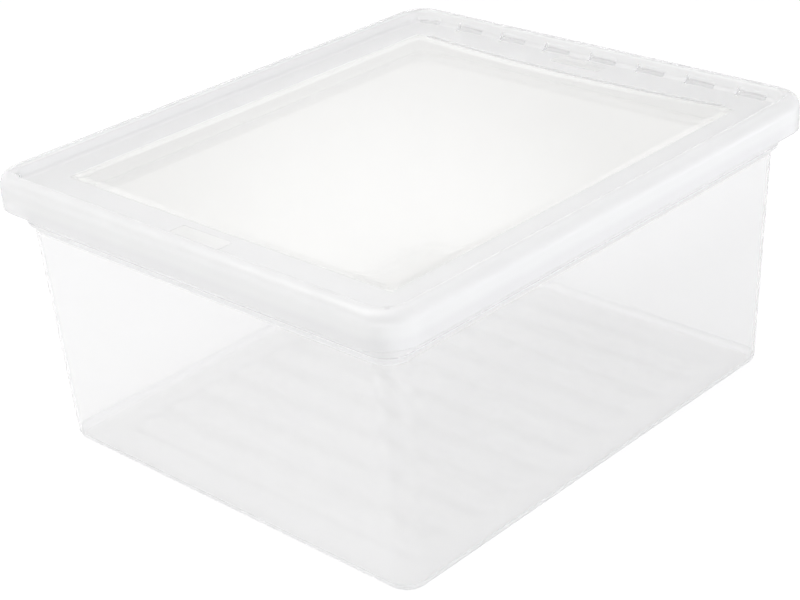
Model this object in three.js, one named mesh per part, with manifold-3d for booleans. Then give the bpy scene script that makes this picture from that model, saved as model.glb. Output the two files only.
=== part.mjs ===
// Clear plastic storage box: a tapered tub with a lid that lifts off. Millimetres, +Z up.
// The origin is the middle of the tub's underside. X runs along the short sides, Y along the long sides.
import * as THREE from "three";
import { mergeVertices } from "three/addons/utils/BufferGeometryUtils.js";
import Module from "manifold-3d";

const wasm = await Module();
wasm.setup();

// Overall sizes of the closed box
const lidWidth = 384;
const lidLength = 450;
const boxHeight = 213;
const lidCorner = 27; // plan radius of the lid's corners

// Moulded wall thicknesses
const lidWall = 1.8;
const tubWall = 1.9;
const floorWall = 1.9;

// Lid rim: a hollow raised border whose outer side runs down as the skirt
const skirtDepth = 25; // crest of the rim down to the skirt's lower edge
const rimRound = 9; // rounding from the crest into the skirt
const rimWidth = 15; // outer face of the skirt in to the foot of the rim's inner face
const rimRise = 9; // ledge up to the crest
const rimLean = 3; // how far the rim's inner face leans out on its way up

// Lid ledge and the sunk panel inside it
const ledgeAtLongSides = 22.2; // foot of the rim in to the panel's edge
const ledgeAtShortSides = 27.2;
const panelDrop = 0.8; // panel below the ledge
const panelStepRun = 8; // plan width of the sloped step between them
const panelCorner = 12;
const panelBow = 8; // inward bow of the panel's edge at the +Y side

// Slots at the foot of the rim, in a row along each short side
const slotPitch = 45;
const slotLength = 25;
const slotReach = 4.5; // how far a slot reaches out over the ledge
const slotRise = 4.5; // how far a slot climbs the rim's inner face
const slotRowMargin = 10; // least distance from the lid's outer face to a centred row's end pitch
const slotRowShift = -9; // middle of the row from the middle of the lid, along X

// Plain raised plate in the middle of the ledge at each short side
const plateLength = 47;
const plateWidth = 13;
const plateRise = 0.6;

// Tub rim: a flange with a turned-down lip, which the lid's skirt surrounds
const lipGap = 0.9; // play between the skirt's inside and the lip
const lipDepth = 6.5; // top of the flange down to the lip's lower edge
const seatWidth = 1.7; // width of the flange that the lid's ledge rests on

// Tub collar, shoulder and wall
const collarDepth = 28; // top of the flange down to the collar's lower edge
const shoulderStep = 3.5; // collar in to the top of the wall
const shoulderDrop = 3;
const draftAtLongSides = 4.7; // how far the wall leans in from its top to the base
const draftAtShortSides = 7.5;
const tubCorner = 16; // plan radius of the tub's outer corners
const baseFillet = 6; // rounding from the wall into the underside

// Stiffening pads pressed up from the floor, with shallow pockets under them
const padPitch = 33.5;
const padWidth = 20.5;
const padRise = 0.5;
const padEndMargin = 28; // base edge in to the pads' ends
const padRowMargin = 26; // least distance from the base's edge to the row's end pitch
const pocketInset = 0.4; // pad's edge in to its pocket's edge

// Facets
const cornerSteps = 6;
const roundSteps = 5;
const bowSteps = 6;
const padEndSteps = 6;

// Sizes that follow from the ones above
const seatHeight = boxHeight - rimRise - lidWall; // top of the flange, where the lid rests
const ledgeTop = lidWall; // heights on the lid are measured from its seat
const crest = ledgeTop + rimRise;
const panelTop = ledgeTop - panelDrop;
const rimMitre = lidWall * Math.tan(Math.atan2(rimRise, rimLean) / 2);
const panelMitre = lidWall * Math.tan(Math.atan2(panelDrop, panelStepRun) / 2);
const rimUnderFoot = rimWidth - rimMitre;
const collarInset = rimUnderFoot + seatWidth - tubWall; // lid's outer face in to the collar's
const wallTopInset = collarInset + shoulderStep;
const shoulderMitre = tubWall * Math.tan(Math.atan2(shoulderStep, shoulderDrop) / 2);
const baseHalfX = lidWidth / 2 - wallTopInset - draftAtLongSides;
const baseHalfY = lidLength / 2 - wallTopInset - draftAtShortSides;
const lipInset = lidWall + lipGap; // lid's outer face in to the lip's
const cutOverrun = 1; // how far a cutting solid runs past the face it cuts

// A rounded rectangle seen from above, anticlockwise, at height z. bow draws its +Y side inwards.
function ring({ halfX, halfY, corner, bow = 0 }, z, sideSteps = 1) {
  const straight = halfX - corner;
  const arcs = [[1, 1], [-1, 1], [-1, -1], [1, -1]].map(([signX, signY], quarter) =>
    Array.from({ length: cornerSteps + 1 }, (_, i) => {
      const angle = ((quarter + i / cornerSteps) * Math.PI) / 2;
      const x = signX * straight + corner * Math.cos(angle);
      const y = signY * (halfY - corner) + corner * Math.sin(angle);
      return new THREE.Vector3(x, y, z);
    }),
  );
  return arcs.flatMap((arc, quarter) => {
    const side = [];
    const next = arcs[(quarter + 1) % arcs.length][0];
    for (let i = 1; i < sideSteps; i++) {
      const point = arc.at(-1).clone().lerp(next, i / sideSteps);
      if (quarter === 0) point.y -= bow * (1 - (point.x / straight) ** 2);
      side.push(point);
    }
    return [...arc, ...side];
  });
}

// The lid's outer outline drawn in by an inset, with corners of its own radius.
function drawnIn(inset, corner, z, sideSteps) {
  return ring({ halfX: lidWidth / 2 - inset, halfY: lidLength / 2 - inset, corner }, z, sideSteps);
}

// A closed skin through rings of equal counts, from the middle of the first to the middle of the last.
function loft(rings) {
  const count = rings[0].length;
  const points = rings.flat();
  const index = [];
  const middle = (edge) => new THREE.Vector3(0, 0, edge[0].z);
  const first = points.push(middle(rings[0])) - 1;
  const last = points.push(middle(rings.at(-1))) - 1;
  const lastRing = (rings.length - 1) * count;
  for (let i = 0; i < count; i++) {
    const j = (i + 1) % count;
    index.push(first, j, i);
    index.push(lastRing + i, lastRing + j, last);
    for (let low = 0; low < lastRing; low += count) {
      const high = low + count;
      index.push(low + i, low + j, high + j);
      index.push(low + i, high + j, high + i);
    }
  }
  return new THREE.BufferGeometry().setFromPoints(points).setIndex(index);
}

// Turns a closed geometry into a solid for joining and cutting.
function solid(geometry) {
  const bare = geometry.clone();
  bare.deleteAttribute("normal");
  bare.deleteAttribute("uv");
  const merged = mergeVertices(bare);
  const vertProperties = merged.attributes.position.array;
  const triVerts = new Uint32Array(merged.index.array);
  return new wasm.Manifold(new wasm.Mesh({ numProp: 3, vertProperties, triVerts }));
}

// Turns a finished solid back into a geometry.
function geometryOf(made) {
  const { vertProperties, triVerts } = made.getMesh();
  return new THREE.BufferGeometry()
    .setAttribute("position", new THREE.BufferAttribute(vertProperties, 3))
    .setIndex(new THREE.BufferAttribute(triVerts, 1));
}

// A block between two corners.
function block(low, high) {
  const size = new THREE.Vector3().subVectors(high, low);
  const centre = new THREE.Vector3().addVectors(low, high).multiplyScalar(0.5);
  return new THREE.BoxGeometry(size.x, size.y, size.z).translate(centre.x, centre.y, centre.z);
}

// An upright bar along X with round ends, standing from bottom to top.
function roundEndedBar(length, width, bottom, top) {
  const radius = width / 2;
  const straight = length / 2 - radius;
  const outline = new THREE.Shape();
  outline.absarc(straight, 0, radius, -Math.PI / 2, Math.PI / 2);
  outline.absarc(-straight, 0, radius, Math.PI / 2, (3 * Math.PI) / 2);
  const options = { depth: top - bottom, bevelEnabled: false, curveSegments: padEndSteps };
  return new THREE.ExtrudeGeometry(outline, options).translate(0, 0, bottom);
}

// Places along a row of a given pitch, as many as the room takes, centred on zero.
function rowPlaces(room, pitch) {
  const count = Math.floor(room / pitch);
  return Array.from({ length: count }, (_, i) => (i - (count - 1) / 2) * pitch);
}

// The quarter circle that rounds an edge: unit steps outward and upward, from the side to the top.
const quarterTurn = Array.from({ length: roundSteps + 1 }, (_, i) => {
  const angle = ((i / roundSteps) * Math.PI) / 2;
  return { out: Math.cos(angle), up: Math.sin(angle) };
});

// The lid: sunk panel, ledge, hollow rim and skirt as one moulded sheet, measured from its seat.
function makeLid() {
  const rim = (inset, z) => drawnIn(inset, lidCorner - inset, z, bowSteps);
  const panel = (inset, z) => {
    const plan = {
      halfX: lidWidth / 2 - rimWidth - ledgeAtLongSides - inset,
      halfY: lidLength / 2 - rimWidth - ledgeAtShortSides - inset,
      corner: panelCorner - inset,
      bow: panelBow,
    };
    return ring(plan, z, bowSteps);
  };
  const rounding = (inset) =>
    quarterTurn.map(({ out, up }) =>
      rim(rimRound - (rimRound - inset) * out, crest - rimRound + (rimRound - inset) * up),
    );
  const skirtEdge = crest - skirtDepth;
  const skin = loft([
    panel(panelStepRun - panelMitre, panelTop - lidWall),
    panel(-panelMitre, ledgeTop - lidWall),
    rim(rimUnderFoot, ledgeTop - lidWall),
    rim(rimUnderFoot - rimLean, crest - lidWall),
    ...rounding(lidWall).reverse(),
    rim(lidWall, skirtEdge),
    rim(0, skirtEdge),
    ...rounding(0),
    rim(rimWidth - rimLean, crest),
    rim(rimWidth, ledgeTop),
    panel(0, ledgeTop),
    panel(panelStepRun, panelTop),
  ]);
  let lid = solid(skin);
  const plateInset = rimWidth + ledgeAtShortSides / 2;
  for (const side of [-1, 1]) {
    const plateY = side * (lidLength / 2 - plateInset);
    const plateLow = new THREE.Vector3(-plateLength / 2, plateY - plateWidth / 2, ledgeTop - lidWall / 2);
    const plateHigh = new THREE.Vector3(plateLength / 2, plateY + plateWidth / 2, ledgeTop + plateRise);
    lid = lid.add(solid(block(plateLow, plateHigh)));
    const slotEnds = [rimUnderFoot - rimLean, rimWidth + slotReach].map((i) => side * (lidLength / 2 - i));
    for (const place of rowPlaces(lidWidth - 2 * slotRowMargin, slotPitch)) {
      const x = place + slotRowShift;
      const slotLow = new THREE.Vector3(x - slotLength / 2, Math.min(...slotEnds), -cutOverrun);
      const slotHigh = new THREE.Vector3(x + slotLength / 2, Math.max(...slotEnds), ledgeTop + slotRise);
      lid = lid.subtract(solid(block(slotLow, slotHigh)));
    }
  }
  return geometryOf(lid);
}

// The tub: padded floor, drafted walls, shoulder, collar and the flange with its turned-down lip.
function makeTub() {
  const lip = (inset, z) => drawnIn(lipInset + inset, lidCorner - lipInset - inset, z);
  const collar = (inset, z) => drawnIn(collarInset + inset, tubCorner - inset, z);
  const wallTop = (inset, z) => drawnIn(wallTopInset + inset, tubCorner - inset, z);
  const base = (inset, z) =>
    ring({ halfX: baseHalfX - inset, halfY: baseHalfY - inset, corner: tubCorner - inset }, z);
  const fillet = (inset, bottom) => {
    const radius = baseFillet - inset;
    return quarterTurn.map(({ out, up }) => base(baseFillet - radius * out, bottom + radius - radius * up));
  };
  const shoulderTop = seatHeight - collarDepth;
  const shoulderFoot = shoulderTop - shoulderDrop;
  const skin = loft([
    ...fillet(0, 0).reverse(),
    wallTop(0, shoulderFoot),
    collar(0, shoulderTop),
    collar(0, seatHeight - tubWall),
    lip(tubWall, seatHeight - tubWall),
    lip(tubWall, seatHeight - lipDepth),
    lip(0, seatHeight - lipDepth),
    lip(0, seatHeight),
    collar(tubWall, seatHeight),
    collar(tubWall, shoulderTop + shoulderMitre),
    wallTop(tubWall, shoulderFoot + shoulderMitre),
    ...fillet(tubWall, floorWall),
  ]);
  let tub = solid(skin);
  const padLength = 2 * (baseHalfX - padEndMargin);
  const padTop = floorWall + padRise;
  for (const y of rowPlaces(2 * (baseHalfY - padRowMargin), padPitch)) {
    const pad = roundEndedBar(padLength, padWidth, floorWall / 2, padTop).translate(0, y, 0);
    tub = tub.add(solid(pad));
    const pocketLength = padLength - 2 * pocketInset;
    const pocketWidth = padWidth - 2 * pocketInset;
    const pocket = roundEndedBar(pocketLength, pocketWidth, -cutOverrun, padRise).translate(0, y, 0);
    tub = tub.subtract(solid(pocket));
  }
  return geometryOf(tub);
}

// Clear polypropylene: the tub is neutral and the lid a touch warmer.
function clearPlastic(color) {
  return new THREE.MeshStandardMaterial({
    color,
    roughness: 0.15,
    metalness: 0,
    transparent: true,
    opacity: 0.35,
  });
}

const tub = new THREE.Mesh(makeTub(), clearPlastic(0xf4f5f6));
tub.name = "tub";

const lid = new THREE.Mesh(makeLid(), clearPlastic(0xf6f5f0));
lid.name = "lid";
lid.position.z = seatHeight;

const storageBox = new THREE.Group();
storageBox.add(tub, lid);

export default storageBox;
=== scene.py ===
import math

import bmesh
import bpy
import numpy as np
from mathutils import Matrix, Vector


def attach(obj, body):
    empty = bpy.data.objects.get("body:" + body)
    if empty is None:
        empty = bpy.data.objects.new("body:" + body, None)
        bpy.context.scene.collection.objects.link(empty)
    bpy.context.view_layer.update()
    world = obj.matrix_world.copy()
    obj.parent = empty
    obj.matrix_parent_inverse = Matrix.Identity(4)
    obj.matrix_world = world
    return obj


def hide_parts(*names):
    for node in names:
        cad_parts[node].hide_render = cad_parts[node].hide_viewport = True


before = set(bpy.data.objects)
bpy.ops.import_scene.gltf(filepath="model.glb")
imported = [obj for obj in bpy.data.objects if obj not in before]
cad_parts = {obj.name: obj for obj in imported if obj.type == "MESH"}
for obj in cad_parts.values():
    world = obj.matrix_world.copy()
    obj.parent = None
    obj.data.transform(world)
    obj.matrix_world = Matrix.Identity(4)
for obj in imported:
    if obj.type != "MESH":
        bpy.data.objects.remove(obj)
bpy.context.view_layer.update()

# The tub: one injection moulding of clear polypropylene, standing on its underside.
# Its drafted walls rise from a padded floor to a shoulder, a collar and a flange with a turned-down lip.
# The skin is lofted through rounded rectangles, with every edge rounded as the mould leaves it.
MM = 0.001
LID_HALF_X, LID_HALF_Y, LID_CORNER = 192.0, 225.0, 27.0
SEAT = 202.2  # top of the flange, where the lid rests
SEAT_FILM = 0.08  # air left between the flange and the lid
TUB_WALL, FLOOR_WALL = 1.9, 1.9
LIP_INSET, LIP_DEPTH = 2.7, 6.5
COLLAR_INSET, COLLAR_DEPTH = 13.503, 28.0
SHOULDER_STEP, SHOULDER_DROP = 3.5, 3.0
DRAFT_X, DRAFT_Y = 4.7, 7.5
TUB_CORNER, BASE_FILLET = 16.0, 6.0
EDGE_ROUND, SHOULDER_ROUND = 1.2, 3.9
FULL_ROUND = 0.999 / 2  # share of a wall that rounds off its free edge, a hair under half
CORNER_STEPS, SIDE_STEPS, ROUND_STEPS = 20, 12, 6
SAME_POINT = 2e-6  # points closer than this, in metres, are one point
CREASE_ANGLE = math.radians(40)
ASIDE = 4.0  # distance to a profile's end point, which only gives a direction


def outline(half_x, half_y, corner, z, bow=0.0):
    """A rounded rectangle seen from above, anticlockwise; bow draws its +Y side inwards."""
    straight = half_x - corner
    arcs = []
    for quarter, (sx, sy) in enumerate([(1, 1), (-1, 1), (-1, -1), (1, -1)]):
        turn = (quarter + np.linspace(0, 1, CORNER_STEPS + 1)) * math.pi / 2
        x = sx * straight + corner * np.cos(turn)
        y = sy * (half_y - corner) + corner * np.sin(turn)
        arcs.append(np.column_stack((x, y)))
    points = []
    for quarter, arc in enumerate(arcs):
        points.append(arc)
        share = np.linspace(0, 1, SIDE_STEPS + 1)[1:-1, None]
        side = arc[-1] + (arcs[(quarter + 1) % 4][0] - arc[-1]) * share
        if quarter == 0:
            side[:, 1] -= bow * (1 - (side[:, 0] / straight) ** 2)
        points.append(side)
    flat = np.vstack(points)
    return np.column_stack((flat, np.full(len(flat), z))) * MM


def rounded(path):
    """A profile of (offset, height, radius), its inner points rounded; the two ends only give directions."""
    made = []
    for before, (offset, z, radius), after in zip(path, path[1:], path[2:]):
        here = np.array((offset, z))
        back = np.array(before[:2]) - here
        ahead = np.array(after[:2]) - here
        back /= np.linalg.norm(back)
        ahead /= np.linalg.norm(ahead)
        half = math.acos(np.clip(back @ ahead, -1, 1)) / 2
        middle = here + (back + ahead) / np.linalg.norm(back + ahead) * radius / math.sin(half)
        start = here + back * radius / math.tan(half) - middle
        end = here + ahead * radius / math.tan(half) - middle
        turn = math.pi - 2 * half
        for t in np.linspace(0, 1, ROUND_STEPS + 1):
            arm = math.sin((1 - t) * turn) * start + math.sin(t * turn) * end
            made.append(middle + arm / math.sin(turn))
    return made


def skin(rings):
    """Quads through rings of equal counts, as a bmesh with both ends open."""
    bm = bmesh.new()
    rows = [[bm.verts.new(p) for p in ring] for ring in rings]
    for low, high in zip(rows, rows[1:]):
        for i in range(len(low)):
            j = (i + 1) % len(low)
            bm.faces.new((low[i], low[j], high[j], high[i]))
    return bm


def as_piece(name, bm):
    """A mesh object at the origin, from a bmesh whose doubled points are merged."""
    bmesh.ops.remove_doubles(bm, verts=bm.verts, dist=SAME_POINT)
    bmesh.ops.recalc_face_normals(bm, faces=bm.faces)
    mesh = bpy.data.meshes.new(name)
    bm.to_mesh(mesh)
    bm.free()
    piece = bpy.data.objects.new(name, mesh)
    bpy.context.scene.collection.objects.link(piece)
    return piece


def shade_by_area(piece):
    """Flat faces stay flat and rounded edges shade smoothly: each corner takes its largest faces' normal."""
    for face in piece.data.polygons:
        face.use_smooth = True
    piece.data.set_sharp_from_angle(angle=CREASE_ANGLE)
    weigh = piece.modifiers.new("weigh", "WEIGHTED_NORMAL")
    weigh.keep_sharp = True
    seen = piece.evaluated_get(bpy.context.evaluated_depsgraph_get())
    mesh = bpy.data.meshes.new_from_object(seen)
    piece.modifiers.clear()
    piece.data = mesh
    mesh.name = piece.name


SHOULDER_TOP = SEAT - COLLAR_DEPTH
SHOULDER_FOOT = SHOULDER_TOP - SHOULDER_DROP
SHOULDER_MITRE = TUB_WALL * math.tan(math.atan2(SHOULDER_STEP, SHOULDER_DROP) / 2)
COLLAR_X, COLLAR_Y = LID_HALF_X - COLLAR_INSET, LID_HALF_Y - COLLAR_INSET
BASE_X = COLLAR_X - SHOULDER_STEP - DRAFT_X
BASE_Y = COLLAR_Y - SHOULDER_STEP - DRAFT_Y


def wall_ring(offset, z):
    climb = min(max((z - BASE_FILLET) / (SHOULDER_FOOT - BASE_FILLET), 0), 1)
    half_x = BASE_X + DRAFT_X * climb + offset
    half_y = BASE_Y + DRAFT_Y * climb + offset
    return outline(half_x, half_y, TUB_CORNER + offset, z)


def collar_ring(offset, z):
    return outline(COLLAR_X + offset, COLLAR_Y + offset, TUB_CORNER + offset, z)


def lip_ring(offset, z):
    inset = LIP_INSET - offset
    return outline(LID_HALF_X - inset, LID_HALF_Y - inset, LID_CORNER - inset, z)


flange_top, flange_under, lip_foot = SEAT - SEAT_FILM, SEAT - TUB_WALL, SEAT - LIP_DEPTH
lip_round = TUB_WALL * FULL_ROUND
inner = -TUB_WALL
tub_rings = [wall_ring(*p) for p in rounded([
    (-BASE_FILLET - ASIDE, 0, 0),
    (0, 0, BASE_FILLET),
    (0, SHOULDER_FOOT, SHOULDER_ROUND),
    (SHOULDER_STEP, SHOULDER_TOP, 0),
])]
tub_rings += [collar_ring(*p) for p in rounded([
    (-SHOULDER_STEP, SHOULDER_FOOT, 0),
    (0, SHOULDER_TOP, SHOULDER_ROUND + TUB_WALL),
    (0, flange_under, EDGE_ROUND),
    (ASIDE, flange_under, 0),
])]
tub_rings += [lip_ring(*p) for p in rounded([
    (inner - ASIDE, flange_under, 0),
    (inner, flange_under, EDGE_ROUND),
    (inner, lip_foot, lip_round),
    (0, lip_foot, lip_round),
    (0, flange_top, EDGE_ROUND),
    (-ASIDE, flange_top, 0),
])]
tub_rings += [collar_ring(*p) for p in rounded([
    (inner + ASIDE, flange_top, 0),
    (inner, flange_top, EDGE_ROUND),
    (inner, SHOULDER_TOP + SHOULDER_MITRE, SHOULDER_ROUND),
    (inner - SHOULDER_STEP, SHOULDER_FOOT + SHOULDER_MITRE, 0),
])]
tub_rings += [wall_ring(*p) for p in rounded([
    (inner + SHOULDER_STEP, SHOULDER_TOP + SHOULDER_MITRE, 0),
    (inner, SHOULDER_FOOT + SHOULDER_MITRE, SHOULDER_ROUND + TUB_WALL),
    (inner, FLOOR_WALL, BASE_FILLET - TUB_WALL),
    (inner - BASE_FILLET - ASIDE, FLOOR_WALL, 0),
])]

# Stiffening pads, part of the tub's floor: ten bars with round ends, pressed up half a millimetre.
# Each has an S-shaped flank, and a shallow pocket of the same form under it.
# One tree makes a row of them, once for the floor's top and once for its underside.
PAD_PITCH, PAD_COUNT, PAD_WIDTH, PAD_RISE = 33.5, 10, 31.5, 0.5
PAD_END_MARGIN, POCKET_INSET, PAD_FLANK = 22.5, 0.4, 11.0
PAD_LENGTH = 2 * (BASE_X - PAD_END_MARGIN)
PAD_END_ROUND = 0.4999  # share of a pad's width that rounds its ends
FLANK_POINTS, PAD_END_POINTS = 10, 14
PAD_MERGE = 1e-4  # metres


class Nodes:
    """Short ways to add nodes to a tree."""

    def __init__(self, tree):
        self.tree = tree

    def node(self, kind, links, **settings):
        node = self.tree.nodes.new(kind)
        for key, value in settings.items():
            setattr(node, key, value)
        for socket, source in links.items():
            if isinstance(source, bpy.types.NodeSocket):
                self.tree.links.new(source, node.inputs[socket])
            else:
                node.inputs[socket].default_value = source
        return node

    def add(self, kind, links, out=0, **settings):
        return self.node(kind, links, **settings).outputs[out]

    def math(self, operation, *values):
        return self.add("ShaderNodeMath", dict(enumerate(values)), operation=operation)

    def smooth(self, value, **limits):
        """A smooth step over a value; limits are from_min, from_max, to_min and to_max."""
        links = {key.replace("_", " ").title(): limit for key, limit in limits.items()}
        return self.add("ShaderNodeMapRange", {"Value": value, **links}, interpolation_type="SMOOTHSTEP")

    def place(self):
        """The X, Y and Z of a point on the piece."""
        spot = self.add("ShaderNodeTexCoord", {}, out="Object")
        return self.node("ShaderNodeSeparateXYZ", {0: spot}).outputs


class Tree(Nodes):
    """A geometry node tree with named inputs."""

    def __init__(self, name, inputs):
        super().__init__(bpy.data.node_groups.new(name, "GeometryNodeTree"))
        face = self.tree.interface
        face.new_socket("Geometry", in_out="OUTPUT", socket_type="NodeSocketGeometry")
        for socket, kind in inputs.items():
            face.new_socket(socket, in_out="INPUT", socket_type="NodeSocket" + kind)
        self.sizes = self.tree.nodes.new("NodeGroupInput").outputs

    def vector(self, **parts):
        return self.add("ShaderNodeCombineXYZ", parts)

    def join(self, *parts):
        node = self.tree.nodes.new("GeometryNodeJoinGeometry")
        for part in parts:
            self.tree.links.new(part, node.inputs[0])
        return node.outputs[0]

    def first_of_row(self):
        """Where a row of Count copies at Pitch starts, so that it is centred."""
        gaps = self.math("SUBTRACT", self.sizes["Count"], 1.0)
        return self.math("MULTIPLY", self.math("MULTIPLY", self.sizes["Pitch"], gaps), -0.5)

    def finish(self, geometry):
        real = self.add("GeometryNodeRealizeInstances", {"Geometry": geometry})
        paint = self.add("GeometryNodeSetMaterial", {"Geometry": real, "Material": self.sizes["Material"]})
        self.node("NodeGroupOutput", {0: paint})

    def mesh(self, name, values, base=None):
        """The mesh that the tree makes from these values, on top of a base mesh if it has one."""
        carrier = bpy.data.objects.new(name, base or bpy.data.meshes.new(name))
        bpy.context.scene.collection.objects.link(carrier)
        made = carrier.modifiers.new(name, "NODES")
        made.node_group = self.tree
        for socket in self.tree.interface.items_tree:
            if socket.in_out == "INPUT" and socket.name in values:
                made[socket.identifier] = values[socket.name]
        seen = carrier.evaluated_get(bpy.context.evaluated_depsgraph_get())
        mesh = bpy.data.meshes.new_from_object(seen)
        bpy.data.objects.remove(carrier)
        return mesh


pads = Tree("pad_row", {
    "Length": "Float", "Width": "Float", "Rise": "Float", "Flank": "Float",
    "Height": "Float", "Pitch": "Float", "Count": "Int", "Material": "Material",
})
box = pads.add(
    "GeometryNodeCurvePrimitiveQuadrilateral",
    {"Width": pads.sizes["Length"], "Height": pads.sizes["Width"]},
)
end_round = pads.math("MULTIPLY", pads.sizes["Width"], PAD_END_ROUND)
bar = pads.add(
    "GeometryNodeFilletCurve", {"Curve": box, "Radius": end_round, "Count": PAD_END_POINTS}, mode="POLY",
)
bar = pads.add("GeometryNodeCurveToMesh", {"Curve": bar})
bar = pads.add("GeometryNodeMergeByDistance", {"Geometry": bar, "Distance": PAD_MERGE})
bar = pads.add("GeometryNodeMeshToCurve", {"Mesh": bar})
foot = pads.add("GeometryNodeSetCurveNormal", {"Curve": bar}, mode="Z_UP")
inwards = pads.math("MULTIPLY", pads.sizes["Flank"], -1.0)
flank = pads.add("GeometryNodeCurvePrimitiveLine", {"Start": (0, 0, 0), "End": pads.vector(X=inwards)})
flank = pads.add("GeometryNodeResampleCurve", {"Curve": flank, "Count": FLANK_POINTS})
along = pads.add("ShaderNodeSeparateXYZ", {0: pads.add("GeometryNodeInputPosition", {})})
drop = pads.math("MULTIPLY", pads.sizes["Rise"], -1.0)
climb = pads.smooth(along, from_min=0.0, from_max=inwards, to_min=0.0, to_max=drop)
flank = pads.add("GeometryNodeSetPosition", {"Geometry": flank, "Offset": pads.vector(Y=climb)})
pad = pads.add("GeometryNodeCurveToMesh", {"Curve": foot, "Profile Curve": flank})
row = pads.add("GeometryNodeMeshLine", {
    "Count": pads.sizes["Count"],
    "Start Location": pads.vector(Y=pads.first_of_row(), Z=pads.sizes["Height"]),
    "Offset": pads.vector(Y=pads.sizes["Pitch"]),
})
pads.finish(pads.add("GeometryNodeInstanceOnPoints", {"Points": row, "Instance": pad}))

# The strips between the floor's pads are more satin and carry painted shade.
# The finish of the tub: clear polypropylene, glossy from a polished mould, with a faint cloudy haze.
# The collar, the shoulder under it and the foot of the walls are milkier than the walls and the floor.
# Rays from lamps and from matt surfaces pass straight through, so the inside is lit as through real plastic.
POLYPROPYLENE_IOR = 1.49
PASSED_LIGHT = (0.96, 0.96, 0.96, 1)  # what a sheet lets through of the light from lamps and matt surfaces
CLOUD_LOW, CLOUD_HIGH, CLOUD_DETAIL = 0.35, 0.65, 5.0
CLOUD_SHARE, UNEVEN_GLOSS = 0.15, 0.02
GRAIN_SCALE, GRAIN_DETAIL, GRAIN_STRENGTH, GRAIN_DEPTH = 900.0, 2.0, 0.04, 0.0002
# The strips between the pads take the cloudy grey, darker than the clear one, as painted shade, and more
# satin.
STRIP_EDGE, STRIP_MIDDLE = 10.0, 1.0  # from the line between two pads: where cloudiness starts and is full
PADDED_X, PADDED_Y = PAD_LENGTH / 2, PAD_PITCH * PAD_COUNT / 2
FADE_OUT_X, FADE_IN_X = 2.0, 14.0  # the strips fade from this far outside the padded field to this far inside
FADE_OUT_Y, FADE_IN_Y = 6.0, 4.0
FLOOR_FADE = 2.5  # the floor's satin ends this many fillets up the wall
FLOOR_SATIN, STRIP_SATIN_AND_SHADE = 0.55, 0.45


def make_haze():
    """The group that gives every moulding its cloudiness, its slightly uneven gloss and its grain."""
    tree = bpy.data.node_groups.new("moulding_haze", "ShaderNodeTree")
    for name, kind, value in (
        ("Clear", "NodeSocketColor", (1, 1, 1, 1)),
        ("Cloudy", "NodeSocketColor", (0.9, 0.9, 0.9, 1)),
        ("Gloss", "NodeSocketFloat", 0.05),
        ("Satin", "NodeSocketFloat", 0.15),
        ("Satin And Paint Share", "NodeSocketFloat", 0.0),
        ("Scale", "NodeSocketFloat", 20.0),
    ):
        tree.interface.new_socket(name, in_out="INPUT", socket_type=kind).default_value = value
    for name, kind in (
        ("Color", "NodeSocketColor"),
        ("Roughness", "NodeSocketFloat"),
        ("Height", "NodeSocketFloat"),
    ):
        tree.interface.new_socket(name, in_out="OUTPUT", socket_type=kind)
    haze = Nodes(tree)
    given = tree.nodes.new("NodeGroupInput").outputs
    share = given["Satin And Paint Share"]
    spot = haze.add("ShaderNodeTexCoord", {}, out="Object")
    cloud = haze.add(
        "ShaderNodeTexNoise", {"Vector": spot, "Scale": given["Scale"], "Detail": CLOUD_DETAIL}, out="Fac",
    )
    spread = haze.add(
        "ShaderNodeMapRange", {"Value": cloud, "From Min": CLOUD_LOW, "From Max": CLOUD_HIGH},
    )
    patchy = haze.add(
        "ShaderNodeMath", {0: spread, 1: CLOUD_SHARE, 2: share}, operation="MULTIPLY_ADD", use_clamp=True,
    )
    tint = haze.add(
        "ShaderNodeMix", {"Factor": patchy, "A": given["Clear"], "B": given["Cloudy"]},
        out="Result", data_type="RGBA",
    )
    polish = haze.add(
        "ShaderNodeMix", {"Factor": share, "A": given["Gloss"], "B": given["Satin"]}, out="Result",
    )
    grain = haze.add(
        "ShaderNodeTexNoise", {"Vector": spot, "Scale": GRAIN_SCALE, "Detail": GRAIN_DETAIL}, out="Fac",
    )
    haze.node("NodeGroupOutput", {
        "Color": tint,
        "Roughness": haze.math("MULTIPLY_ADD", spread, UNEVEN_GLOSS, polish),
        "Height": haze.math("MULTIPLY", grain, share),
    })
    return tree


def clear_plastic(name, clear, cloudy, gloss, satin, clarity, satin_and_paint_share=None):
    """A clear plastic; the optional share function gives the socket that says where it is satin, and where
    its colour moves to the cloudy grey as painted shade between the tub's pads and a painted highlight band
    on the lid's skirt.
    """
    material = bpy.data.materials.new(name)
    material.use_nodes = True
    material.node_tree.nodes.clear()
    nodes = Nodes(material.node_tree)
    looks = {"Clear": (*clear, 1), "Cloudy": (*cloudy, 1), "Gloss": gloss, "Satin": satin}
    if satin_and_paint_share:
        looks["Satin And Paint Share"] = satin_and_paint_share(nodes)
    haze = nodes.node("ShaderNodeGroup", looks, node_tree=moulding_haze).outputs
    bump = nodes.add("ShaderNodeBump", {
        "Strength": GRAIN_STRENGTH, "Distance": GRAIN_DEPTH, "Height": haze["Height"],
    })
    surface = nodes.add("ShaderNodeBsdfPrincipled", {
        "Base Color": haze["Color"], "Roughness": haze["Roughness"], "Normal": bump,
        "IOR": POLYPROPYLENE_IOR, "Transmission Weight": clarity,
    })
    film = nodes.add("ShaderNodeBsdfTransparent", {"Color": PASSED_LIGHT})
    rays = nodes.node("ShaderNodeLightPath", {}).outputs
    for ray in ("Is Diffuse Ray", "Is Shadow Ray"):
        surface = nodes.add("ShaderNodeMixShader", {0: rays[ray], 1: surface, 2: film})
    nodes.node("ShaderNodeOutputMaterial", {"Surface": surface})
    return material


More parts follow.
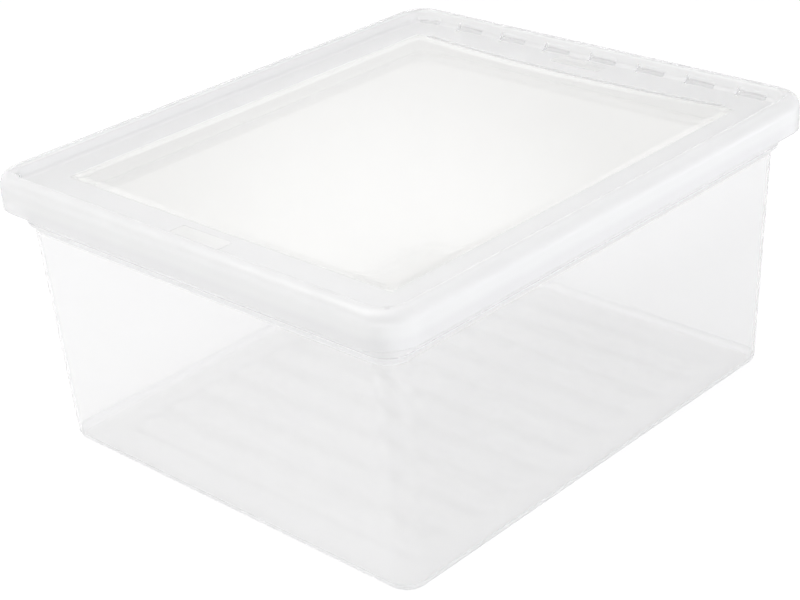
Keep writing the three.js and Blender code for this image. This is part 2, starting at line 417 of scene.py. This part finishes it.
def floor_satin_and_strip_shade(nodes):
    """A mask of satin and painted shade: 0 on the walls, about half on the floor and 1 in the bands between
    the pads, which it paints darker.
    """
    x, y, z = nodes.place()
    low = nodes.smooth(z, from_min=FLOOR_FADE * BASE_FILLET * MM, from_max=BASE_FILLET * MM)
    from_line = nodes.math("WRAP", y, PAD_PITCH / 2 * MM, -PAD_PITCH / 2 * MM)
    strip = nodes.smooth(
        nodes.math("ABSOLUTE", from_line), from_min=STRIP_EDGE * MM, from_max=STRIP_MIDDLE * MM,
    )
    across = nodes.smooth(
        nodes.math("ABSOLUTE", x),
        from_min=(PADDED_X + FADE_OUT_X) * MM, from_max=(PADDED_X - FADE_IN_X) * MM,
    )
    along = nodes.smooth(
        nodes.math("ABSOLUTE", y),
        from_min=(PADDED_Y + FADE_OUT_Y) * MM, from_max=(PADDED_Y - FADE_IN_Y) * MM,
    )
    strip_shade = nodes.math("MULTIPLY", nodes.math("MULTIPLY", strip, across), along)
    return nodes.math("MULTIPLY", low, nodes.math("MULTIPLY_ADD", strip_shade, STRIP_SATIN_AND_SHADE, FLOOR_SATIN))


moulding_haze = make_haze()
# The tub's cloudy grey, darker than its clear grey, also serves as painted shade in the strips between the
# floor's pads.
tub_clear = clear_plastic(
    "tub_clear", clear=(0.976, 0.976, 0.976), cloudy=(0.963, 0.963, 0.963),
    gloss=0.05, satin=0.25, clarity=0.95, satin_and_paint_share=floor_satin_and_strip_shade,
)
tub_collar = clear_plastic(
    "tub_collar", clear=(0.9, 0.9, 0.903), cloudy=(0.89, 0.89, 0.893), gloss=0.25, satin=0.25, clarity=0.65,
)
tub_foot = clear_plastic(
    "tub_foot", clear=(0.97, 0.97, 0.97), cloudy=(0.95, 0.95, 0.95), gloss=0.3, satin=0.3, clarity=0.55,
)
tub_shoulder = clear_plastic(
    "tub_shoulder", clear=(0.95, 0.95, 0.953), cloudy=(0.94, 0.94, 0.943),
    gloss=0.3, satin=0.3, clarity=0.2,
)

# The tub put together: the skin takes the pads in its floor and the pockets under them, and is closed.
# Each face then gets the finish of its place on the moulding.
# It is one closed shell on the tub's body.
LEVEL_SLACK = 1e-6  # metres
OVERHANG = -0.1  # a face whose normal points further down than this hangs over
NEARLY_FLAT = 0.995


def open_edges(bm, level):
    """The edges at one height that have a face on one side only."""
    edges = [e for e in bm.edges if e.is_boundary]
    return [e for e in edges if all(abs(v.co.z - level * MM) < LEVEL_SLACK for v in e.verts)]


def paint(mesh, finishes, finish_of):
    """Gives a mesh its finishes; finish_of(face) says which one a face takes."""
    mesh.materials.clear()
    for finish in finishes:
        mesh.materials.append(finish)
    for face in mesh.polygons:
        face.material_index = finishes.index(finish_of(face))


def tub_finish(face):
    outward = face.center.to_2d().dot(face.normal.to_2d()) > 0
    above_foot = face.center.z / MM - SHOULDER_FOOT
    near_shoulder = -SHOULDER_ROUND < above_foot < SHOULDER_DROP + SHOULDER_ROUND
    if outward and face.normal.z < OVERHANG and near_shoulder:
        return tub_shoulder
    if outward and above_foot > 0:
        return tub_collar
    if face.center.z < BASE_FILLET * MM and abs(face.normal.z) < NEARLY_FLAT:
        return tub_foot
    return tub_clear


tub_skin = skin(tub_rings)
for height, shrink in ((FLOOR_WALL, 0.0), (0.0, 2 * POCKET_INSET)):
    tub_skin.from_mesh(pads.mesh("pads", {
        "Length": (PAD_LENGTH - shrink) * MM, "Width": (PAD_WIDTH - shrink) * MM,
        "Rise": PAD_RISE * MM, "Flank": PAD_FLANK * MM, "Height": height * MM,
        "Pitch": PAD_PITCH * MM, "Count": PAD_COUNT, "Material": tub_clear,
    }))
    bmesh.ops.edgeloop_fill(tub_skin, edges=open_edges(tub_skin, height + PAD_RISE))
    bmesh.ops.triangle_fill(tub_skin, edges=open_edges(tub_skin, height))
tub = as_piece("tub_shell", tub_skin)
paint(tub.data, [tub_clear, tub_collar, tub_foot, tub_shoulder], tub_finish)
shade_by_area(tub)
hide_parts("tub")
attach(tub, "tub")

# The lid: one injection moulding of clear polypropylene, which drops over the tub's lip and lifts off.
# A slightly sunk panel, a ledge, a hollow raised rim and a skirt, as one sheet of even thickness.
# The skin is lofted as the tub's is; the far side of the panel bows inwards.
LID_WALL = 1.8
SKIRT_DEPTH, RIM_ROUND, RIM_WIDTH, RIM_RISE, RIM_LEAN = 25.0, 9.0, 15.0, 9.0, 3.0
LEDGE_X, LEDGE_Y = 22.2, 27.2
PANEL_DROP, PANEL_STEP, PANEL_CORNER, PANEL_BOW = 0.8, 8.0, 12.0, 8.0
FOOT_ROUND, CREST_ROUND, STEP_ROUND = 4.0, 4.0, 50.0
PANEL_X, PANEL_Y = LID_HALF_X - RIM_WIDTH - LEDGE_X, LID_HALF_Y - RIM_WIDTH - LEDGE_Y
LEDGE_TOP = SEAT + LID_WALL
CREST = LEDGE_TOP + RIM_RISE
SKIRT_FOOT = CREST - SKIRT_DEPTH
PANEL_TOP = LEDGE_TOP - PANEL_DROP
RIM_UNDER_FOOT = RIM_WIDTH - LID_WALL * math.tan(math.atan2(RIM_RISE, RIM_LEAN) / 2)
STEP_MITRE = LID_WALL * math.tan(math.atan2(PANEL_DROP, PANEL_STEP) / 2)


def rim_ring(offset, z):
    return outline(LID_HALF_X + offset, LID_HALF_Y + offset, LID_CORNER + offset, z)


def panel_ring(offset, z):
    return outline(PANEL_X + offset, PANEL_Y + offset, PANEL_CORNER + offset, z, PANEL_BOW)


skirt_round = LID_WALL * FULL_ROUND
lid_rings = [panel_ring(*p) for p in rounded([
    (-PANEL_STEP - ASIDE, PANEL_TOP - LID_WALL, 0),
    (-PANEL_STEP + STEP_MITRE, PANEL_TOP - LID_WALL, STEP_ROUND + LID_WALL),
    (STEP_MITRE, SEAT, STEP_ROUND),
    (STEP_MITRE + ASIDE, SEAT, 0),
])]
lid_rings += [rim_ring(*p) for p in rounded([
    (-RIM_UNDER_FOOT - ASIDE, SEAT, 0),
    (-RIM_UNDER_FOOT, SEAT, FOOT_ROUND + LID_WALL),
    (-RIM_UNDER_FOOT + RIM_LEAN, CREST - LID_WALL, CREST_ROUND - LID_WALL),
    (-LID_WALL, CREST - LID_WALL, RIM_ROUND - LID_WALL),
    (-LID_WALL, SKIRT_FOOT, skirt_round),
    (0, SKIRT_FOOT, skirt_round),
    (0, CREST, RIM_ROUND),
    (-RIM_WIDTH + RIM_LEAN, CREST, CREST_ROUND),
    (-RIM_WIDTH, LEDGE_TOP, FOOT_ROUND),
    (-RIM_WIDTH - ASIDE, LEDGE_TOP, 0),
])]
lid_rings += [panel_ring(*p) for p in rounded([
    (ASIDE, LEDGE_TOP, 0),
    (0, LEDGE_TOP, STEP_ROUND + LID_WALL),
    (-PANEL_STEP, PANEL_TOP, STEP_ROUND),
    (-PANEL_STEP - ASIDE, PANEL_TOP, 0),
])]
lid_skin = skin(lid_rings)
for ring in (lid_skin.verts[: len(lid_rings[0])], lid_skin.verts[-len(lid_rings[0]):]):
    lid_skin.faces.new(ring)
lid = as_piece("lid_shell", lid_skin)

# Slots and plates of the lid: eight slots along each short side, at the foot of the rim, and a bare plate
# between the panel and each row, all of one moulding with the lid.
# The tree joins the plates to the lid's sheet and cuts the rows of slots from it.
SLOT_PITCH, SLOT_COUNT, SLOT_LENGTH, SLOT_SHIFT = 45.0, 8, 25.0, -9.0
SLOT_REACH, SLOT_RISE = 4.5, 4.5  # onto the ledge and up the rim
SLOT_UNDERCUT = 1.0  # how far below the sheet the cut starts
PLATE_LENGTH, PLATE_WIDTH, PLATE_RISE = 47.0, 13.0, 0.4
PLATE_CORNER, PLATE_CORNER_POINTS = 2.0, 5
PLATE_ROOT = 0.9  # how deep a plate is sunk into the sheet before the two are joined
PLATE_MERGE = 1e-5  # metres
PLATE_Y = LID_HALF_Y - RIM_WIDTH - LEDGE_Y / 2
slot_low, slot_high = SEAT - SLOT_UNDERCUT, LEDGE_TOP + SLOT_RISE
slot_in = LID_HALF_Y - RIM_WIDTH - SLOT_REACH
slot_out = LID_HALF_Y - RIM_UNDER_FOOT + RIM_LEAN

cuts = Tree("rim_slots", {
    "Lid": "Geometry", "Slot": "Vector", "Place": "Vector", "Pitch": "Float", "Count": "Int",
    "Plate": "Vector", "Plate Corner": "Float", "Plate Place": "Vector", "Material": "Material",
})
slot = cuts.add("GeometryNodeMeshCube", {"Size": cuts.sizes["Slot"]})
length, width, thickness = cuts.node("ShaderNodeSeparateXYZ", {0: cuts.sizes["Plate"]}).outputs
plate = cuts.add("GeometryNodeCurvePrimitiveQuadrilateral", {"Width": length, "Height": width})
plate = cuts.add(
    "GeometryNodeFilletCurve",
    {"Curve": plate, "Radius": cuts.sizes["Plate Corner"], "Count": PLATE_CORNER_POINTS}, mode="POLY",
)
plate = cuts.add("GeometryNodeFillCurve", {"Curve": plate}, mode="NGONS")
raised = cuts.add("GeometryNodeExtrudeMesh", {
    "Mesh": plate, "Offset": cuts.vector(Z=1.0), "Offset Scale": thickness, "Individual": False,
})
bottom = cuts.add("GeometryNodeFlipFaces", {"Mesh": plate})
plate = cuts.add(
    "GeometryNodeMergeByDistance", {"Geometry": cuts.join(raised, bottom), "Distance": PLATE_MERGE},
)
first = cuts.first_of_row()
rows, plates = [], []
for side in (1.0, -1.0):
    plate_spot, row_spot = (
        cuts.add("ShaderNodeVectorMath", {0: cuts.sizes[spot], 1: (1.0, side, 1.0)}, operation="MULTIPLY")
        for spot in ("Plate Place", "Place")
    )
    plates.append(cuts.add("GeometryNodeSetPosition", {"Geometry": plate, "Offset": plate_spot}))
    start = cuts.add("ShaderNodeVectorMath", {0: row_spot, 1: cuts.vector(X=first)}, operation="ADD")
    row = cuts.add("GeometryNodeMeshLine", {
        "Count": cuts.sizes["Count"], "Start Location": start,
        "Offset": cuts.vector(X=cuts.sizes["Pitch"]),
    })
    rows.append(cuts.add("GeometryNodeInstanceOnPoints", {"Points": row, "Instance": slot}))
cutters = cuts.add("GeometryNodeRealizeInstances", {"Geometry": cuts.join(*rows)})
plated = cuts.node("GeometryNodeMeshBoolean", {}, operation="UNION", solver="EXACT")
for part in (cuts.sizes["Lid"], *plates):
    cuts.tree.links.new(part, plated.inputs["Mesh 2"])
cuts.finish(cuts.add(
    "GeometryNodeMeshBoolean", {"Mesh 1": plated.outputs["Mesh"], "Mesh 2": cutters},
    operation="DIFFERENCE", solver="EXACT",
))

# The finish of the lid: clear polypropylene with a polished, faintly warm panel and a satin rim.
# The skirt carries painted shade, greyest where it hangs free below the tub's lip, and a painted highlight
# band around the seat; the slots' cut faces are matt.
# The top of the panel's far step is painted as a narrow strip of darker grey, a painted dark line for the
# shade that refraction draws there.
# Up the skirt the satin share also paints: shade below the lip and on the crest, and a highlight band around
# the seat.
SKIRT_SATIN_AND_PAINT = ((0.26, 0.0), (0.46, 1.0), (0.70, 1.0), (0.88, 0.6))  # (share of the skirt's height, satin)
POLISH_START = PANEL_STEP / 5  # how far inside the panel's edge its polish starts
FAR_LINE_START = -0.5  # the strip on the far step starts this far outside the panel's edge
FACE_SLACK = 0.1
SQUARE_ON = 0.99  # a normal with a larger part along an axis faces along it


def grey_ramp(nodes, value, stops):
    """A ramp of greys over a value, from (position, grey) pairs in rising order."""
    node = nodes.node("ShaderNodeValToRGB", {"Fac": value})
    made = node.color_ramp.elements
    for element, (at, grey) in zip(tuple(made), stops):
        element.position = at
        element.color = (grey, grey, grey, 1)
    for at, grey in stops[2:]:
        made.new(at).color = (grey, grey, grey, 1)
    return node.outputs["Color"]


def skirt_satin_and_painted_band(nodes):
    """A mask of the skirt's height for its satin and its painted highlight band: 0 below the tub's lip, 1
    around the seat and less on the crest.
    """
    height = nodes.add("ShaderNodeMapRange", {
        "Value": nodes.place()["Z"], "From Min": SKIRT_FOOT * MM, "From Max": CREST * MM,
    })
    return grey_ramp(nodes, height, SKIRT_SATIN_AND_PAINT)


lid_rim = clear_plastic(
    "lid_rim", clear=(0.918, 0.918, 0.918), cloudy=(0.908, 0.908, 0.908),
    gloss=0.25, satin=0.25, clarity=0.65,
)
lid_panel = clear_plastic(
    "lid_panel", clear=(0.962, 0.96, 0.945), cloudy=(0.952, 0.95, 0.935),
    gloss=0.05, satin=0.1, clarity=0.88,
)
# The edge's clear grey is painted shade on the lower skirt and the crest, and its lighter cloudy grey is the
# painted highlight band around the seat.
lid_edge_painted_band = clear_plastic(
    "lid_edge_painted_band", clear=(0.91, 0.91, 0.913), cloudy=(0.978, 0.978, 0.978),
    gloss=0.2, satin=0.25, clarity=0.62, satin_and_paint_share=skirt_satin_and_painted_band,
)
lid_slots = clear_plastic(
    "lid_slots", clear=(0.9, 0.9, 0.9), cloudy=(0.89, 0.89, 0.89), gloss=0.3, satin=0.3, clarity=0.2,
)
# A painted dark line: the far step's top is darker grey, for the shade that refraction draws there.
lid_far_step_painted_line = clear_plastic(
    "lid_far_step_painted_line", clear=(0.72, 0.72, 0.72), cloudy=(0.71, 0.71, 0.71),
    gloss=0.3, satin=0.3, clarity=0.4,
)


def lid_finish(face):
    x, y, z = face.center / MM
    nx, ny, nz = (abs(part) for part in face.normal)
    bow = PANEL_BOW * max(0, 1 - (x / (PANEL_X - PANEL_CORNER)) ** 2) if y > 0 else 0
    inside = PANEL_Y - bow - abs(y)
    on_plate = abs(x) < PLATE_LENGTH / 2 and abs(abs(y) - PLATE_Y) < PLATE_WIDTH / 2
    if on_plate and z > LEDGE_TOP + PLATE_RISE / 4:
        return lid_panel
    if abs(x) < PANEL_X - POLISH_START and inside > POLISH_START:
        return lid_panel
    in_row = slot_in - FACE_SLACK < abs(y) < slot_out + FACE_SLACK
    at_slots = slot_low < z < slot_high + FACE_SLACK
    slot_roof = nz > SQUARE_ON and abs(z - slot_high) < FACE_SLACK
    if in_row and at_slots and (max(nx, ny) > SQUARE_ON or slot_roof):
        return lid_slots
    # The painted dark line along the top of the panel's far step.
    on_far_side = y > 0 and abs(x) < PANEL_X - PANEL_CORNER and z > PANEL_TOP - FACE_SLACK
    if on_far_side and FAR_LINE_START < inside <= POLISH_START:
        return lid_far_step_painted_line
    if min(LID_HALF_X - abs(x), LID_HALF_Y - abs(y)) < RIM_WIDTH - RIM_LEAN:
        return lid_edge_painted_band
    return lid_rim


lid.data = cuts.mesh("lid_cut", {
    "Slot": (SLOT_LENGTH * MM, (slot_out - slot_in) * MM, (slot_high - slot_low) * MM),
    "Place": (SLOT_SHIFT * MM, (slot_in + slot_out) / 2 * MM, (slot_low + slot_high) / 2 * MM),
    "Pitch": SLOT_PITCH * MM, "Count": SLOT_COUNT, "Material": lid_rim,
    "Plate": (PLATE_LENGTH * MM, PLATE_WIDTH * MM, (PLATE_RISE + PLATE_ROOT) * MM),
    "Plate Corner": PLATE_CORNER * MM,
    "Plate Place": (0.0, PLATE_Y * MM, (LEDGE_TOP - PLATE_ROOT) * MM),
}, base=lid.data)
paint(lid.data, [lid_rim, lid_panel, lid_edge_painted_band, lid_slots, lid_far_step_painted_line], lid_finish)
shade_by_area(lid)
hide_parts("lid")
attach(lid, "lid")

# The table: a wide matt white sheet under the box, which keeps the box's shadow.
# It has a little light of its own for what the camera and the plastic see, so that it reads as white paper.
# Mirrored in the plastic it carries a painted shadow of the box, greyer close on its right, and a painted
# pool of window light further right.
TABLE_RADIUS, TABLE_SIDES, TABLE_DROP = 12.0, 64, 0.0002
PAPER_WHITE = (0.9, 0.9, 0.9, 1)
PAPER_GLOW, CAMERA_GLOW = 0.12, 0.06
# The box's shadow painted on the table, seen only in mirrored rays.
MIRRORED_SHADOW_TONES = ((0.14, 0.9), (0.18, 0.45), (0.30, 0.45), (0.38, 0.9))  # (metres to the right, grey)
# A pool of window light painted on the table as glow, seen only in mirrored rays.
WINDOW_START, WINDOW_FULL, WINDOW_STRENGTH = 0.44, 0.50, 1.6
WINDOW_COLOUR = (0.94, 0.95, 1.0, 1)


def in_mirror(nodes, rays):
    """1 for a ray that a glossy surface has mirrored, and 0 for others."""
    return nodes.math("MULTIPLY", rays["Is Reflection Ray"], rays["Is Glossy Ray"])


table_skin = bmesh.new()
bmesh.ops.create_circle(table_skin, cap_ends=True, segments=TABLE_SIDES, radius=TABLE_RADIUS)
table = as_piece("table", table_skin)
for vertex in table.data.vertices:
    vertex.co.z = -TABLE_DROP
if table.data.polygons[0].normal.z < 0:
    table.data.flip_normals()
paper = bpy.data.materials.new("white_paper")
paper.use_nodes = True
paper.node_tree.nodes.clear()
nodes = Nodes(paper.node_tree)
rays = nodes.node("ShaderNodeLightPath", {}).outputs
mirrored = in_mirror(nodes, rays)
x = nodes.place()["X"]
paper_with_painted_shadow = nodes.add(
    "ShaderNodeMix", {"Factor": mirrored, "A": PAPER_WHITE, "B": grey_ramp(nodes, x, MIRRORED_SHADOW_TONES)},
    out="Result", data_type="RGBA",
)
matt = nodes.add("ShaderNodeBsdfDiffuse", {"Color": paper_with_painted_shadow})
painted_light_pool = nodes.smooth(x, from_min=WINDOW_START, from_max=WINDOW_FULL, to_max=WINDOW_STRENGTH)
window = nodes.add("ShaderNodeEmission", {
    "Color": WINDOW_COLOUR, "Strength": nodes.math("MULTIPLY", painted_light_pool, mirrored),
})
level = nodes.math("MULTIPLY_ADD", rays["Is Camera Ray"], CAMERA_GLOW, PAPER_GLOW)
lit = nodes.add(
    "ShaderNodeMath", {0: level, 1: rays["Is Diffuse Ray"]}, operation="SUBTRACT", use_clamp=True,
)
glow = nodes.add("ShaderNodeEmission", {"Strength": lit})
with_window = nodes.add("ShaderNodeAddShader", {0: matt, 1: window})
nodes.node("ShaderNodeOutputMaterial", {
    "Surface": nodes.add("ShaderNodeAddShader", {0: with_window, 1: glow}),
})
table.data.materials.append(paper)

# The surround: a white room that lights the box evenly, and a plain pale backdrop behind it.
# What the plastic mirrors is a dimmer room with one bright patch behind the box and a pale skyline.
# Light may pass many sheets of plastic on its way.
ROOM_LOW, ROOM_LOW_COLOUR = 0.15, (1.0, 1.0, 1.0, 1)
ROOM_HIGH, ROOM_HIGH_COLOUR = 0.6, (0.72, 0.72, 0.73, 1)
BACKDROP_COLOUR = (0.8, 0.8, 0.8, 1)
PATCH_WAY = (-0.623, 0.633, 0.459)
PATCH_EDGE, PATCH_MIDDLE = math.cos(math.radians(9.0)), math.cos(math.radians(1.0))
MIRRORED_ROOM, MIRRORED_PATCH = 0.7, 1.75
SKYLINE_FULL, SKYLINE_END, SKYLINE_STRENGTH = 0.25, 0.40, 0.6

scene = bpy.context.scene
scene.view_settings.view_transform = "Standard"
scene.cycles.max_bounces = 64
scene.cycles.transmission_bounces = 48
scene.cycles.transparent_max_bounces = 32
scene.cycles.glossy_bounces = 48

world = bpy.data.worlds.new("surround")
scene.world = world
world.use_nodes = True
world.node_tree.nodes.clear()
nodes = Nodes(world.node_tree)
rays = nodes.node("ShaderNodeLightPath", {}).outputs
way = nodes.add("ShaderNodeTexCoord", {}, out="Generated")
z = nodes.node("ShaderNodeSeparateXYZ", {0: way}).outputs["Z"]
height = nodes.node("ShaderNodeValToRGB", {"Fac": z})
low, high = height.color_ramp.elements
low.position, low.color = ROOM_LOW, ROOM_LOW_COLOUR
high.position, high.color = ROOM_HIGH, ROOM_HIGH_COLOUR
sky = nodes.add("ShaderNodeBackground", {"Color": height.outputs["Color"]})
backdrop = nodes.add("ShaderNodeBackground", {"Color": BACKDROP_COLOUR})
toward = nodes.add("ShaderNodeVectorMath", {0: way, 1: PATCH_WAY}, out="Value", operation="DOT_PRODUCT")
patch = nodes.smooth(
    toward, from_min=PATCH_EDGE, from_max=PATCH_MIDDLE, to_min=MIRRORED_ROOM, to_max=MIRRORED_PATCH,
)
skyline = nodes.smooth(
    z, from_min=SKYLINE_FULL, from_max=SKYLINE_END, to_min=SKYLINE_STRENGTH, to_max=0.0,
)
mirrored = nodes.add("ShaderNodeBackground", {
    "Color": BACKDROP_COLOUR, "Strength": nodes.math("ADD", patch, skyline),
})
for share, shown in (
    (in_mirror(nodes, rays), mirrored),
    (rays["Is Transmission Ray"], backdrop),
    (rays["Is Camera Ray"], backdrop),
):
    sky = nodes.add("ShaderNodeMixShader", {0: share, 1: sky, 2: shown})
nodes.node("ShaderNodeOutputWorld", {"Surface": sky})

# The lamps: a warm white soft box overhead and a cooler one on the right.
# Both point at the box, a little above the table.
LAMP_AIM = (0, 0, 0.1)


def soft_box(name, place, size, power, colour):
    lamp = bpy.data.lights.new(name, "AREA")
    lamp.shape = "RECTANGLE"
    lamp.size, lamp.size_y = size
    lamp.energy = power
    lamp.color = colour
    holder = bpy.data.objects.new(name, lamp)
    scene.collection.objects.link(holder)
    aim = Vector(LAMP_AIM) - Vector(place)
    holder.location = place
    holder.rotation_euler = aim.to_track_quat("-Z", "Y").to_euler()


soft_box("overhead", place=(-0.4, -0.5, 1.8), size=(1.5, 1.5), power=10.5, colour=(1.0, 0.99, 0.97))
soft_box("right", place=(2.0, 0.5, 0.9), size=(1.0, 1.2), power=5.2, colour=(0.92, 0.94, 1.0))

# The camera: where the photograph was taken from, as the outlines of the lid and the tub give it.
# It looks down at the near corner from above the lid.
CAMERA_PLACE = (0.8640, -0.9045, 0.7016)
CAMERA_RIGHT = (0.7349, 0.6757, -0.0575)
CAMERA_UP = (-0.2636, 0.3628, 0.8938)
CAMERA_BACK = (0.6249, -0.6417, 0.4447)
SENSOR_WIDTH, FOCAL_LENGTH = 36.0, 85.55
lens = bpy.data.cameras.new("camera")
lens.sensor_width, lens.lens = SENSOR_WIDTH, FOCAL_LENGTH
camera = bpy.data.objects.new("camera", lens)
scene.collection.objects.link(camera)
turned = Matrix((CAMERA_RIGHT, CAMERA_UP, CAMERA_BACK)).transposed().to_4x4()
camera.matrix_world = Matrix.Translation(CAMERA_PLACE) @ turned
scene.camera = camera
